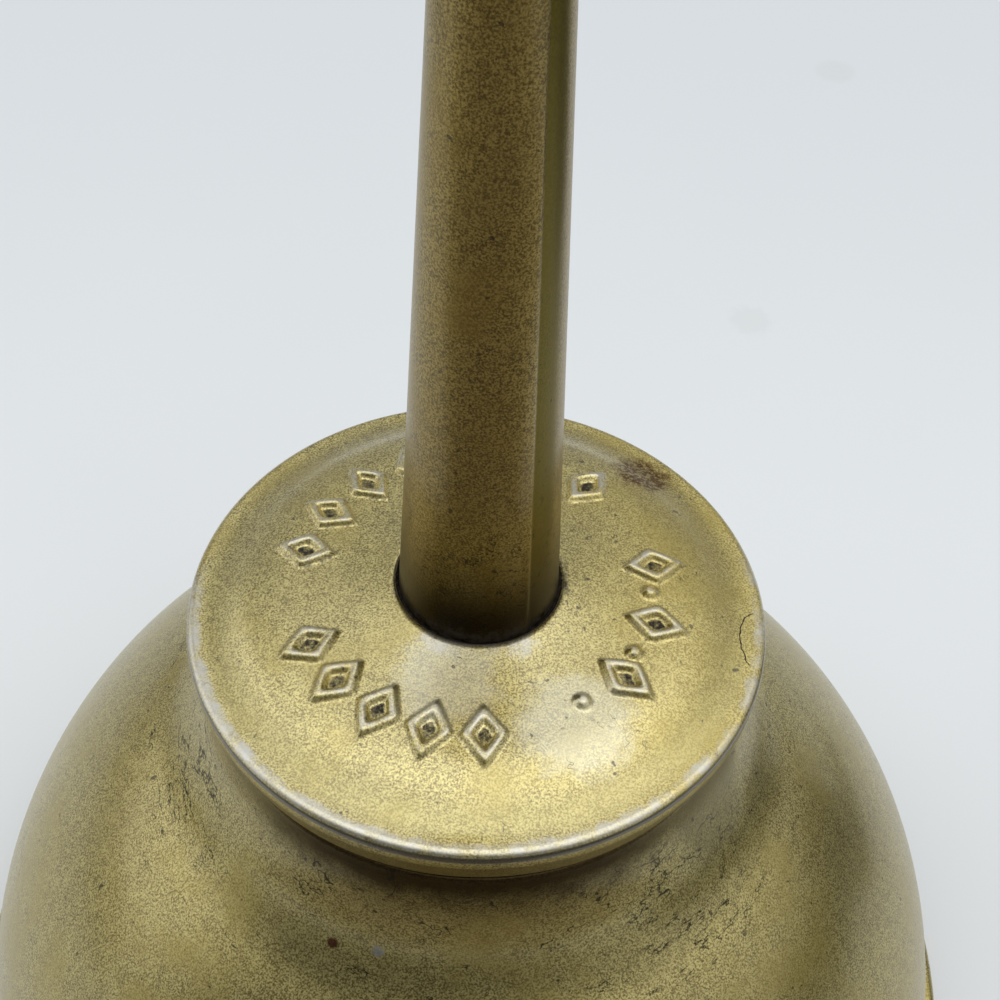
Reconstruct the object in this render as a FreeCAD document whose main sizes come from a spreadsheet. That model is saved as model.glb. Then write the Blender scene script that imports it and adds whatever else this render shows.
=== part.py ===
import FreeCAD, Part
import math
import os
import re

import Sketcher
from FreeCAD import Placement, Rotation, Vector

# Thumb-pump bench oiler, in millimetres. The can stands on the XY plane with its axis on +Z.
# A drawn steel bell holds the oil. Its spring bottom is pressed with a thumb, and a tapered
# spout, soldered into a beaded screw cap, threads onto the neck.

SIZES = {
    # can
    "sheet_gauge": 0.5,
    "rim_radius": 43.0,
    "rim_height": 4.2,
    "rim_corner": 0.8,
    "rim_foot_inner": 41.2,
    "dome_radius": 41.0,
    "cap_rise": 48.4,
    "flare_drop": 5.0,
    "neck_radius": 18.9,
    "neck_bore": 15.9,
    "shoulder_drop": 4.3,
    "neck_tube_drop": 1.5,
    # spring bottom and thumb plate
    "bottom_gauge": 0.4,
    "bottom_step_first": 37.5,
    "bottom_step_pitch": 7.0,
    "bottom_step_run": 1.0,
    "bottom_step_drop": 0.4,
    "thumb_radius": 13.0,
    "thumb_thick": 0.9,
    "thumb_edge": 0.4,
    "thumb_dish": 0.3,
    "thumb_gap": 0.05,
    # neck thread
    "thread_core": 17.2,
    "thread_pitch": 1.5,
    "ridge_height": 0.6,
    "ridge_base": 0.7,
    "ridge_crest": 0.3,
    "neck_top_drop": 0.2,
    "neck_ridge_start": 0.8,
    "neck_ridge_rise": 2.95,
    # screw cap, measured from the skirt's lower edge
    "skirt_radius": 19.1,
    "bead_plane": 3.2,
    "bead_centre": 19.25,
    "bead_section": 0.8,
    "groove_radius": 18.3,
    "groove_rise": 0.62,
    "ramp_radius": 16.5,
    "ramp_rise": 1.5,
    "field_outer": 14.5,
    "field_outer_rise": 2.2,
    "field_inner": 9.0,
    "field_inner_rise": 2.6,
    "crown_radius": 7.0,
    "crown_rise": 3.0,
    "hole_radius": 5.7,
    "hole_rise": 3.3,
    # raised lozenges and pips on the cap
    "mark_ring": 12.4,
    "mark_length": 4.6,
    "mark_width": 3.3,
    "mark_stroke": 0.75,
    "mark_root": 2.05,
    "mark_top": 2.75,
    "pip_ring": 11.8,
    "pip_radius": 0.55,
    # internal thread of the cap
    "liner_bore": 18.1,
    "liner_lift": 0.1,
    "liner_length": 2.8,
    "cap_ridge_start": 0.35,
    "cap_ridge_rise": 2.1,
    # leather washer
    "washer_inner": 14.0,
    "washer_outer": 16.9,
    "washer_thick": 0.85,
    "washer_gap": 0.05,
    # spout
    "foot_rise": 0.6,
    "foot_radius": 5.5,
    "tip_radius": 1.5,
    "tip_round": 0.4,
    "tip_bore": 0.75,
    "spout_length": 100.5,
    "spout_wall": 0.45,
    "solder_rise": 1.2,
    "solder_radius": 7.8,
}

# Groups of raised lozenges on the cap: first angle and step in degrees, and how many.
MARK_GROUPS = [(-152.0, 16.6, 5), (115.0, 18.0, 4), (53.0, 22.0, 2), (-36.0, 24.0, 3)]
PIP_GROUPS = [(-52.5, 26.5, 3)]

LEFT, RIGHT = 1, -1
UP = Vector(0, 0, 1)

doc = FreeCAD.newDocument("BenchOiler")
table = doc.addObject("Spreadsheet::Sheet", "Sizes")
for row, (word, value) in enumerate(SIZES.items(), 1):
    table.set(f"A{row}", word)
    table.set(f"B{row}", str(value))
    table.setAlias(f"B{row}", word)
doc.recompute()

# Heights above the base, and the bell's flare: an arc that leaves the neck vertically and
# meets the dome tangentially, so its radius follows from the dome, the neck and their distance.
CAP_PLANE = "(rim_height + cap_rise)"
SKIRT_FOOT = f"({CAP_PLANE} - bead_plane)"
SHOULDER = f"({CAP_PLANE} - shoulder_drop)"
FLARE_RISE = "(cap_rise - flare_drop)"
FLARE = (
    f"((neck_radius^2 + {FLARE_RISE}^2 - dome_radius^2)"
    " / (2 * (dome_radius - neck_radius)))"
)
MEET_ACROSS = f"((neck_radius + {FLARE}) / (dome_radius + {FLARE}))"
MEET_UP = f"({FLARE_RISE} / (dome_radius + {FLARE}))"


def formula(text):
    """The text with every size's name turned into a reference to its spreadsheet cell."""
    return re.sub(r"[a-z]+(?:_[a-z]+)+", lambda word: "Sizes." + word.group(), text)


def number(text):
    """What a formula comes to now."""
    found = table.evalExpression(formula(text))
    return float(getattr(found, "Value", found))


def new_body(label, height="0"):
    """A PartDesign body whose own origin stands at that height above the base."""
    body = doc.addObject("PartDesign::Body", label)
    body.Label = label
    if height != "0":
        body.setExpression("Placement.Base.z", formula(height))
    return body


def new_sketch(body, name, plane):
    sketch = body.newObject("Sketcher::SketchObject", name)
    origin_plane = next(o for o in body.Origin.OriginFeatures if o.Role == plane)
    sketch.AttachmentSupport = (origin_plane, [""])
    sketch.MapMode = "FlatFace"
    return sketch


def drive(sketch, constraint, size):
    """Adds a constraint whose datum follows a formula."""
    index = sketch.addConstraint(Sketcher.Constraint(*constraint, number(size)))
    sketch.setExpression(f"Constraints[{index}]", formula(size))


def pin_point(sketch, curve, end, across, up):
    """Holds a curve's end at the two distances from the sketch's origin."""
    for kind, axis, size in (("DistanceX", -2, across), ("DistanceY", -1, up)):
        if size == "0":
            sketch.addConstraint(Sketcher.Constraint("PointOnObject", curve, end, axis))
        else:
            drive(sketch, (kind, -1, 1, curve, end), size)


def add_outline(sketch, corners, arcs=None):
    """Closes a loop through the corners, each (across, up) as formulas. arcs gives, for the
    corners that an arc leaves, its radius and the side on which its centre lies."""
    arcs = arcs or {}
    points = [Vector(number(across), number(up), 0) for across, up in corners]
    first_ends, last_ends = [], []
    for i, start in enumerate(points):
        end = points[(i + 1) % len(points)]
        if i in arcs:
            size, side = arcs[i]
            radius, chord = number(size), end - start
            reach = math.sqrt(max(radius**2 - chord.Length**2 / 4, 0))
            middle = (start + end) / 2
            centre = middle + Vector(-chord.y, chord.x, 0).normalize() * reach * side
            tail, head = (start, end) if side == LEFT else (end, start)
            turn_from = math.atan2(tail.y - centre.y, tail.x - centre.x)
            turn_to = math.atan2(head.y - centre.y, head.x - centre.x)
            turn_to += 2 * math.pi if turn_to < turn_from else 0
            circle = Part.Circle(centre, UP, radius)
            curve = sketch.addGeometry(Part.ArcOfCircle(circle, turn_from, turn_to))
            drive(sketch, ("Radius", curve), size)
            ends = (1, 2) if side == LEFT else (2, 1)
        else:
            curve = sketch.addGeometry(Part.LineSegment(start, end))
            ends = (1, 2)
        first_ends.append((curve, ends[0]))
        last_ends.append((curve, ends[1]))
    for i, (across, up) in enumerate(corners):
        joined = Sketcher.Constraint("Coincident", *last_ends[i - 1], *first_ends[i])
        sketch.addConstraint(joined)
        pin_point(sketch, *first_ends[i], across, up)


def turned(body, corners, arcs=None, name="Turned"):
    """Revolves a closed outline about the body's own axis."""
    sketch = new_sketch(body, name + "Profile", "XZ_Plane")
    add_outline(sketch, corners, arcs)
    feature = body.newObject("PartDesign::Revolution", name)
    feature.Profile = sketch
    feature.ReferenceAxis = (sketch, ["V_Axis"])
    feature.Angle = 360
    doc.recompute()
    return feature


def helical_ridge(body, wall, crest, start, rise):
    """Winds a thread ridge of trapezoid section: wall is the radius that it grows from, a
    little inside the metal, and crest the radius of its top."""
    sketch = new_sketch(body, "RidgeSection", "XZ_Plane")
    corners = [
        (wall, f"{start} - ridge_base / 2"),
        (crest, f"{start} - ridge_crest / 2"),
        (crest, f"{start} + ridge_crest / 2"),
        (wall, f"{start} + ridge_base / 2"),
    ]
    add_outline(sketch, corners)
    ridge = body.newObject("PartDesign::AdditiveHelix", "Ridge")
    ridge.Profile = sketch
    ridge.ReferenceAxis = (sketch, ["V_Axis"])
    ridge.Mode = 0
    ridge.setExpression("Pitch", formula("thread_pitch"))
    ridge.setExpression("Height", formula(rise))
    doc.recompute()


def raised_group(body, name, draw, first_angle, step, count):
    """Pads one raised mark out of the cap's sheet and repeats it round the axis."""
    sketch = new_sketch(body, name + "Outline", "XY_Plane")
    turn = Rotation(UP, first_angle)
    root = number("bead_plane + mark_root")
    sketch.AttachmentOffset = Placement(Vector(0, 0, root), turn)
    sketch.setExpression("AttachmentOffset.Base.z", formula("bead_plane + mark_root"))
    draw(sketch)
    pad = body.newObject("PartDesign::Pad", name)
    pad.Profile = sketch
    pad.setExpression("Length", formula("mark_top - mark_root"))
    doc.recompute()
    pattern = body.newObject("PartDesign::PolarPattern", name + "Group")
    pattern.Originals = [pad]
    pattern.Axis = (sketch, ["N_Axis"])
    pattern.Angle = step * (count - 1)
    pattern.Occurrences = count
    body.Tip = pattern
    doc.recompute()


def draw_lozenge(sketch):
    """A hollow diamond, its long diagonal along the radius."""
    diagonals = "sqrt(mark_length^2 + mark_width^2)"
    hollow = f"(1 - 2 * mark_stroke * {diagonals} / (mark_length * mark_width))"
    for share in ("1", hollow):
        along = f"mark_length / 2 * {share}"
        aside = f"mark_width / 2 * {share}"
        corners = [
            (f"mark_ring - {along}", "0"),
            ("mark_ring", f"0 - {aside}"),
            (f"mark_ring + {along}", "0"),
            ("mark_ring", aside),
        ]
        add_outline(sketch, corners)


def draw_pip(sketch):
    centre = Vector(number("pip_ring"), 0, 0)
    curve = sketch.addGeometry(Part.Circle(centre, UP, number("pip_radius")))
    drive(sketch, ("Radius", curve), "pip_radius")
    pin_point(sketch, curve, 3, "pip_ring", "0")


def make_body_shell():
    """The bell: base rim folded under, dome, flare, shoulder and a short neck tube."""
    body = new_body("body_shell")
    inner = "(dome_radius - sheet_gauge)"
    corners = [
        ("rim_foot_inner", "0"),
        ("rim_radius - rim_corner", "0"),
        ("rim_radius", "rim_corner"),
        ("rim_radius", "rim_height - rim_corner"),
        ("rim_radius - rim_corner", "rim_height"),
        ("dome_radius", "rim_height"),
        (f"dome_radius * {MEET_ACROSS}", f"rim_height + dome_radius * {MEET_UP}"),
        ("neck_radius", f"rim_height + {FLARE_RISE}"),
        ("neck_radius", SHOULDER),
        ("neck_bore + sheet_gauge", SHOULDER),
        ("neck_bore + sheet_gauge", f"{CAP_PLANE} - neck_tube_drop"),
        ("neck_bore", f"{CAP_PLANE} - neck_tube_drop"),
        ("neck_bore", f"{SHOULDER} - sheet_gauge"),
        ("neck_radius - sheet_gauge", f"{SHOULDER} - sheet_gauge"),
        ("neck_radius - sheet_gauge", f"rim_height + {FLARE_RISE}"),
        (f"{inner} * {MEET_ACROSS}", f"rim_height + {inner} * {MEET_UP}"),
        (inner, "rim_height"),
        (inner, "rim_height - sheet_gauge"),
        ("rim_radius - sheet_gauge", "rim_height - sheet_gauge"),
        ("rim_radius - sheet_gauge", "sheet_gauge"),
        ("rim_foot_inner", "sheet_gauge"),
    ]
    arcs = {
        1: ("rim_corner", LEFT),
        3: ("rim_corner", LEFT),
        5: ("dome_radius", LEFT),
        6: (FLARE, RIGHT),
        14: (f"{FLARE} + sheet_gauge", LEFT),
        15: (inner, RIGHT),
    }
    turned(body, corners, arcs)
    return body


def make_spring_bottom():
    """The springy disc: an edge folded down inside the rim, then lands that step down
    towards a flat centre."""
    body = new_body("spring_bottom")
    wall = "(rim_radius - sheet_gauge)"
    top = ["rim_height - sheet_gauge"]
    upper = [(wall, "sheet_gauge"), (wall, top[0])]
    for ring in range(3):
        radius = f"bottom_step_first - {ring} * bottom_step_pitch"
        upper.append((radius, top[-1]))
        top.append(f"{top[0]} - {ring + 1} * bottom_step_drop")
        upper.append((f"{radius} - bottom_step_run", top[-1]))
    upper.append(("0", top[-1]))
    lower = [("0", f"{top[-1]} - bottom_gauge")]
    for across, up in reversed(upper[2:-1]):
        lower.append((across, f"{up} - bottom_gauge"))
    lower.append((f"{wall} - bottom_gauge", f"{top[0]} - bottom_gauge"))
    lower.append((f"{wall} - bottom_gauge", "sheet_gauge"))
    turned(body, upper + lower)
    return body


def make_seam_solder():
    """Solder run into the rim's fold, between its foot and the bottom's folded edge."""
    body = new_body("seam_solder", "sheet_gauge")
    edge = "rim_radius - sheet_gauge - bottom_gauge"
    corners = [(f"{edge} - sheet_gauge", "0"), (edge, "0"), (edge, "sheet_gauge")]
    turned(body, corners)
    return body


def make_thumb_plate():
    """Stiffening disc under the centre of the bottom, dished for the thumb."""
    centre = "rim_height - sheet_gauge - 3 * bottom_step_drop - bottom_gauge"
    body = new_body("thumb_plate", f"{centre} - thumb_gap - thumb_thick")
    dish = "thumb_radius - 3 * thumb_edge"
    corners = [
        ("0", "thumb_dish"),
        (dish, "0"),
        ("thumb_radius - thumb_edge", "0"),
        ("thumb_radius", "thumb_edge"),
        ("thumb_radius", "thumb_thick"),
        ("0", "thumb_thick"),
    ]
    sphere = f"((({dish})^2 + thumb_dish^2) / (2 * thumb_dish))"
    turned(body, corners, {0: (sphere, RIGHT), 2: ("thumb_edge", LEFT)})
    return body


def make_neck_ring():
    """Threaded brass ring soldered round the neck tube, with a lip over the tube's end."""
    body = new_body("neck_ring", SHOULDER)
    lip = "shoulder_drop - neck_tube_drop"
    top = "shoulder_drop - neck_top_drop"
    corners = [
        ("neck_bore + sheet_gauge", "0"),
        ("thread_core", "0"),
        ("thread_core", top),
        ("neck_bore", top),
        ("neck_bore", lip),
        ("neck_bore + sheet_gauge", lip),
    ]
    turned(body, corners)
    helical_ridge(
        body,
        "thread_core - sheet_gauge / 5",
        "thread_core + ridge_height",
        "neck_ridge_start",
        "neck_ridge_rise",
    )
    return body


def make_neck_solder():
    """Fillet of solder where the ring meets the shoulder."""
    body = new_body("neck_solder", SHOULDER)
    size = "ridge_height / 2"
    corners = [
        ("thread_core", "0"),
        (f"thread_core + 1.5 * {size}", "0"),
        ("thread_core", size),
    ]
    turned(body, corners)
    return body


def make_washer():
    body = new_body("leather_washer", f"{CAP_PLANE} - neck_top_drop + washer_gap")
    corners = [
        ("washer_inner", "0"),
        ("washer_outer", "0"),
        ("washer_outer", "washer_thick"),
        ("washer_inner", "washer_thick"),
    ]
    turned(body, corners)
    return body


def make_cap():
    """Stamped cap: domed face with a raised lip round the spout hole, groove, rolled bead
    and a skirt, then the ring of lozenges and pips."""
    body = new_body("cap_flange", SKIRT_FOOT)
    skirt_inner = "skirt_radius - sheet_gauge"
    face = [
        ("groove_radius", "groove_rise"),
        ("ramp_radius", "ramp_rise"),
        ("field_outer", "field_outer_rise"),
        ("field_inner", "field_inner_rise"),
        ("crown_radius", "crown_rise"),
        ("hole_radius", "hole_rise"),
    ]
    bead_in = "sqrt(bead_section^2 - (bead_centre - skirt_radius)^2)"
    corners = [
        ("skirt_radius", "0"),
        ("skirt_radius", f"bead_plane - {bead_in}"),
        ("bead_centre + bead_section", "bead_plane"),
        ("bead_centre", "bead_plane + bead_section"),
    ]
    corners += [(across, f"bead_plane + {rise}") for across, rise in face]
    corners += [
        (across, f"bead_plane + {rise} - sheet_gauge") for across, rise in reversed(face)
    ]
    corners += [
        (skirt_inner, "bead_plane - sheet_gauge / 2"),
        (skirt_inner, "0"),
    ]
    arcs = {1: ("bead_section", LEFT), 2: ("bead_section", LEFT)}
    turned(body, corners, arcs)
    for i, (angle, step, count) in enumerate(MARK_GROUPS):
        raised_group(body, f"Lozenge{i}", draw_lozenge, angle, step, count)
    for i, (angle, step, count) in enumerate(PIP_GROUPS):
        raised_group(body, f"Pip{i}", draw_pip, angle, step, count)
    return body


def make_cap_thread():
    """Threaded liner soldered inside the skirt."""
    body = new_body("cap_thread_ring", f"{SKIRT_FOOT} + liner_lift")
    outer = "skirt_radius - sheet_gauge"
    corners = [
        ("liner_bore", "0"),
        (outer, "0"),
        (outer, "liner_length - sheet_gauge / 2"),
        (f"{outer} - sheet_gauge / 4", "liner_length"),
        ("liner_bore", "liner_length"),
    ]
    turned(body, corners)
    helical_ridge(
        body,
        "liner_bore + sheet_gauge / 5",
        "liner_bore - ridge_height",
        "cap_ridge_start",
        "cap_ridge_rise",
    )
    return body


def spout_radius(height):
    """Outer radius of the tapered spout at a height above its foot, as a formula."""
    return f"(foot_radius - (foot_radius - tip_radius) / spout_length * ({height}))"


def make_spout():
    """Rolled and tapered tube, its tip closed in to a small hole."""
    body = new_body("spout_tube", f"{CAP_PLANE} + foot_rise")
    corners = [
        ("foot_radius - spout_wall", "0"),
        ("foot_radius", "0"),
        ("tip_radius", "spout_length - tip_round"),
        ("tip_radius - tip_round", "spout_length"),
        ("tip_bore", "spout_length"),
        ("tip_bore", "spout_length - 2 * tip_round"),
        ("tip_radius - spout_wall", "spout_length - 4 * tip_round"),
    ]
    turned(body, corners, {2: ("tip_round", LEFT)})
    return body


def make_spout_solder():
    """Solder under the cap that joins the spout to it and fills the gap round the spout."""
    body = new_body("spout_solder", f"{CAP_PLANE} + foot_rise")
    low = "solder_rise - foot_rise"
    top = "hole_rise - sheet_gauge - foot_rise"
    crown = "crown_rise - sheet_gauge - foot_rise"
    slope = "(crown_rise - field_inner_rise) / (field_inner - crown_radius)"
    corners = [
        (spout_radius(low), low),
        ("solder_radius", f"{crown} - {slope} * (solder_radius - crown_radius)"),
        ("crown_radius", crown),
        ("hole_radius", top),
        (spout_radius(top), top),
    ]
    turned(body, corners, {0: ("2 * solder_rise", RIGHT)})
    return body


parts = [
    make_body_shell(),
    make_spring_bottom(),
    make_seam_solder(),
    make_thumb_plate(),
    make_neck_ring(),
    make_neck_solder(),
    make_washer(),
    make_cap(),
    make_cap_thread(),
    make_spout(),
    make_spout_solder(),
]
doc.recompute()

for item in doc.Objects:
    if "Invalid" in item.State or "Error" in item.State:
        raise RuntimeError(f"{item.Label} did not rebuild: {item.State}")
for part in parts:
    if part.Shape.isNull() or not part.Shape.isValid() or len(part.Shape.Solids) != 1:
        raise RuntimeError(f"{part.Label} is not one valid solid")

os.makedirs("parts", exist_ok=True)
for part in parts:
    part.Shape.exportStep(f"parts/{part.Label}.step")
    print(f"{part.Label}: {part.Shape.Volume:.1f} mm3, {part.Shape.BoundBox}")
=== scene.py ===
import math

import bmesh
import bpy
import numpy as np
from mathutils import Matrix, Vector, noise


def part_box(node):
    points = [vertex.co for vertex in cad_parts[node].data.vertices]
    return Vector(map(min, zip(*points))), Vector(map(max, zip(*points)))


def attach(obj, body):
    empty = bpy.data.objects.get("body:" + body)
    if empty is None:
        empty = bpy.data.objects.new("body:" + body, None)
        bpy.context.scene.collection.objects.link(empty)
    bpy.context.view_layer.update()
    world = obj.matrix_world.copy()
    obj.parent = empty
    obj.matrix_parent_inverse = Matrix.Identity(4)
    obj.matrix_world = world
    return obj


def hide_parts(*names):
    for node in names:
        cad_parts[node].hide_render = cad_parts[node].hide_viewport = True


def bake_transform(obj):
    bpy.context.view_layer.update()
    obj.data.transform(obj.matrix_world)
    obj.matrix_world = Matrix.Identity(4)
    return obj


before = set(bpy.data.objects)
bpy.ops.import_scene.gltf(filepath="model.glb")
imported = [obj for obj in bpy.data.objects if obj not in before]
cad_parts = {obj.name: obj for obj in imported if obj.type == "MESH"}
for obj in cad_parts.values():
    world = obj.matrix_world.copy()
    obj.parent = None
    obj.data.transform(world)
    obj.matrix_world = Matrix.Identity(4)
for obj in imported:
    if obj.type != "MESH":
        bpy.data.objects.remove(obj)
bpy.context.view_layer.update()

# A bench oiler: lacquered bell-shaped can, beaded screw cap and tapered spout.
# Lengths are in metres; MM turns the small sizes below into metres.
MM = 0.001
TAU = 2 * math.pi

CAP_LOW, CAP_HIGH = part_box("cap_flange")
SPOUT_LOW, SPOUT_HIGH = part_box("spout_tube")
THUMB_LOW, THUMB_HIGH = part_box("thumb_plate")
BOTTOM_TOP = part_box("spring_bottom")[1].z

GAUGE = 0.5 * MM
RIM_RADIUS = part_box("body_shell")[1].x
RIM_WIDTH = 1.8 * MM
RIM_HEIGHT = 4.2 * MM
DOME_RADIUS = 41.0 * MM
NECK_RADIUS = 18.9 * MM
NECK_BORE = 15.9 * MM
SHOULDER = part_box("neck_ring")[0].z
BEAD_PLANE = CAP_LOW.z + 3.2 * MM
FLARE_FOOT = BEAD_PLANE - 5.0 * MM
NECK_TOP = BEAD_PLANE - 1.5 * MM
DENT_DEPTH, DENTS_PER_METRE = 0.09 * MM, 55.0
BEAD_CENTRE = 19.48 * MM
BEAD_SECTION = 0.57 * MM
ROLL_CENTRE = (19.5 * MM, BEAD_PLANE - 0.8 * MM)
ROLL_SECTION = 0.53 * MM
SKIRT_RADIUS = 19.33 * MM
HOLE_RADIUS = 5.63 * MM
LIP = 0.22 * MM
LIP_RADIUS = HOLE_RADIUS + LIP
FOOT_RADIUS = SPOUT_HIGH.x
TIP_RADIUS = 1.5 * MM
SPOUT_LENGTH = SPOUT_HIGH.z - SPOUT_LOW.z
SPOUT_WALL = 0.45 * MM
TIP_BORE = 0.75 * MM
SPOUT_SWELL = 0.05 * MM
SEAM_ANGLE = math.radians(-50.0)
SEAM_STEP = 0.13 * MM

# Two of these levels again for the materials, which work in millimetres.
BEAD_LEVEL, SHOULDER_LEVEL = BEAD_PLANE / MM, SHOULDER / MM

# The cap's face: radius and height above the bead's plane, in millimetres.
FACE = [
    (5.7, 3.3), (7.0, 3.0), (9.0, 2.68), (12.0, 2.38), (14.5, 2.08),
    (16.0, 1.64), (17.2, 1.06), (18.3, 0.66), (19.48, 0.57),
]
# Groups of raised lozenges and pips: first angle and step in degrees, and how many.
LOZENGES = [(-152.0, 16.6, 5), (115.0, 18.0, 4), (53.0, 22.0, 2), (-36.0, 24.0, 3)]
PIPS = [(-52.5, 26.5, 3)]
MARK_HEIGHT = 0.40 * MM
MARK_RING, PIP_RING = 12.4 * MM, 11.8 * MM
# The part of the face that holds them, which gets the finest mesh.
MARKED_BAND = 9.9 * MM, 14.9 * MM
# Half length, half width, and distance from the middle to a side, in millimetres.
LOZENGE = 2.3, 1.65, 1.341
# What stands that far above the bead's plane belongs to the face.
FACE_START = 1.2 * MM
# The angle, in radians, where dirt is thickest round the spout.
DIRTY_SIDE = 0.12

# Places of single marks, in millimetres: a point, and the radius round it.
GREY_CHIP = (-5.4, -20.2, 40.7), 0.5
RED_CHIP = (-8.5, -19.5, 40.2), 0.5
SCUFFED_RIGHT = (16.0, -14.5, 40.5), 7.5
SCUFFED_LEFT = (-19.5, -6.0, 40.5), 7.0
# Painted shade on the neck, right of the cap.
SHADED_NECK = (17.5, -9.5, 45.0), 6.0
# Painted highlights: two pale streaks on the cap's face.
HIGHLIGHT_LEFT = (-1.7, -8.4, BEAD_LEVEL + 2.7), 4.2
HIGHLIGHT_RIGHT = (6.8, -11.0, BEAD_LEVEL + 2.4), 4.6
RUST_PATCH = (11.6, 12.6, BEAD_LEVEL + 1.1), 2.7
PALE_SPOUT_NICK = (-2.6, -4.2, BEAD_LEVEL + 38.0), 0.8
GREY_SPOUT_PATCH = (1.6, -3.2, BEAD_LEVEL + 53.0), 2.6
HAIR_PLACE = (18.5, -2.0, BEAD_LEVEL + 0.9), 3.0
# The arc that the hair lies along, seen from above: its centre and radius.
HAIR_CENTRE, HAIR_RADIUS = (21.65, -2.18, 0.0), 3.58
# Smudges on the table: a point, the radius round it, and how ragged the edge is.
TABLE_SMUDGES = [((51.5, 158.0, 0.0), 4.0, 0.3), ((33.5, 95.0, 0.0), 3.5, 0.9)]


# ---------------------------------------------------------------- mesh tools

def smooth_step(value, low, high):
    share = np.clip((value - low) / (high - low), 0, 1)
    return share * share * (3 - 2 * share)


def arc(centre, radius, start, end, count):
    """Points of an arc in the (radius, height) plane, its angles in degrees."""
    turn = np.radians(np.linspace(start, end, count))
    return [(centre[0] + radius * math.cos(a), centre[1] + radius * math.sin(a)) for a in turn]


def rounded(corner, before, after, radius, count=6):
    """The fillet of that radius that takes a corner's place between two neighbours."""
    here, back, ahead = (Vector(p) for p in (corner, before, after))
    to_back, to_ahead = (back - here).normalized(), (ahead - here).normalized()
    half = to_back.angle(to_ahead) / 2
    reach = radius / math.tan(half)
    centre = here + (to_back + to_ahead).normalized() * (radius / math.sin(half))
    start, end = here + to_back * reach, here + to_ahead * reach
    points = []
    for i in range(count):
        share = i / (count - 1)
        spoke = (start - centre).lerp(end - centre, share).normalized()
        points.append(tuple(centre + spoke * radius))
    return points


def soft_outline(corners, closed=True):
    """A polyline through corners (radius, height, fillet); a fillet of 0 keeps the point."""
    points, count = [], len(corners)
    for i, (across, up, fillet) in enumerate(corners):
        at_end = not closed and i in (0, count - 1)
        if fillet == 0 or at_end:
            points.append((across, up))
        else:
            before, after = corners[i - 1][:2], corners[(i + 1) % count][:2]
            points += rounded((across, up), before, after, fillet)
    return points


def subdivided(points, longest):
    """The same closed polyline with no stretch longer than that."""
    result = []
    for i, point in enumerate(points):
        start, end = np.array(point), np.array(points[(i + 1) % len(points)])
        steps = max(1, int(math.ceil(np.linalg.norm(end - start) / longest)))
        result += [tuple(start + (end - start) * k / steps) for k in range(steps)]
    return result


def unrounded(points):
    """Corners without a fillet, for soft_outline."""
    return [(across, up, 0) for across, up in points]


def lathe(name, outline, segments, shape=None):
    """Turns a closed outline of (radius, height) about +Z. shape may move the points, given as
    arrays of radius, angle and height, and returns the new radius, angle and height. Where the
    outline touches the axis, the ring there becomes a single point."""
    outline = np.array(outline, float)
    rings = len(outline)
    angle = np.linspace(0, TAU, segments, endpoint=False)
    radius, turn = np.meshgrid(outline[:, 0], angle, indexing="ij")
    height = np.repeat(outline[:, 1:2], segments, axis=1)
    if shape:
        radius, turn, height = shape(radius, turn, height)
    grid = np.stack([radius * np.cos(turn), radius * np.sin(turn), height], -1)
    faces = []
    for ring in range(rings):
        low, high = ring * segments, ((ring + 1) % rings) * segments
        for k in range(segments):
            after = (k + 1) % segments
            faces.append((low + k, low + after, high + after, high + k))
    mesh = bpy.data.meshes.new(name)
    mesh.from_pydata(grid.reshape(-1, 3).tolist(), [], faces)
    piece = bpy.data.objects.new(name, mesh)
    bpy.context.scene.collection.objects.link(piece)
    tidy_mesh(mesh)
    return piece


def tidy_mesh(mesh):
    """Joins the points that fall together on the axis and turns the faces outwards."""
    work = bmesh.new()
    work.from_mesh(mesh)
    bmesh.ops.remove_doubles(work, verts=work.verts, dist=1e-7)
    bmesh.ops.dissolve_degenerate(work, edges=work.edges, dist=1e-8)
    bmesh.ops.recalc_face_normals(work, faces=work.faces)
    work.to_mesh(mesh)
    work.free()
    mesh.shade_smooth()


def paint_mask(piece, name, values):
    """Stores one number per point, which a material can read."""
    layer = piece.data.attributes.new(name, "FLOAT", "POINT")
    layer.data.foreach_set("value", np.asarray(values, np.float32))


def polar(piece):
    """Radius, angle and height of a piece's points."""
    co = np.zeros(len(piece.data.vertices) * 3)
    piece.data.vertices.foreach_get("co", co)
    co = co.reshape(-1, 3)
    return np.hypot(co[:, 0], co[:, 1]), np.arctan2(co[:, 1], co[:, 0]), co[:, 2]


def sampled(measure, x, y, z):
    """What a function of a point says at every point of a grid."""
    points = np.stack([x, y, z], -1).reshape(-1, 3)
    return np.array([measure(Vector(p)) for p in points]).reshape(x.shape)


def turned_from(turn, middle):
    """How far an angle is from another one, between half a turn back and half a turn ahead."""
    return (turn - middle + math.pi) % TAU - math.pi


def front_side(turn):
    """1 at the front, falling to 0 some 40 degrees to either side of it."""
    return smooth_step(-np.sin(turn), 0.75, 1.0)


# ---------------------------------------------------------------- materials

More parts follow.
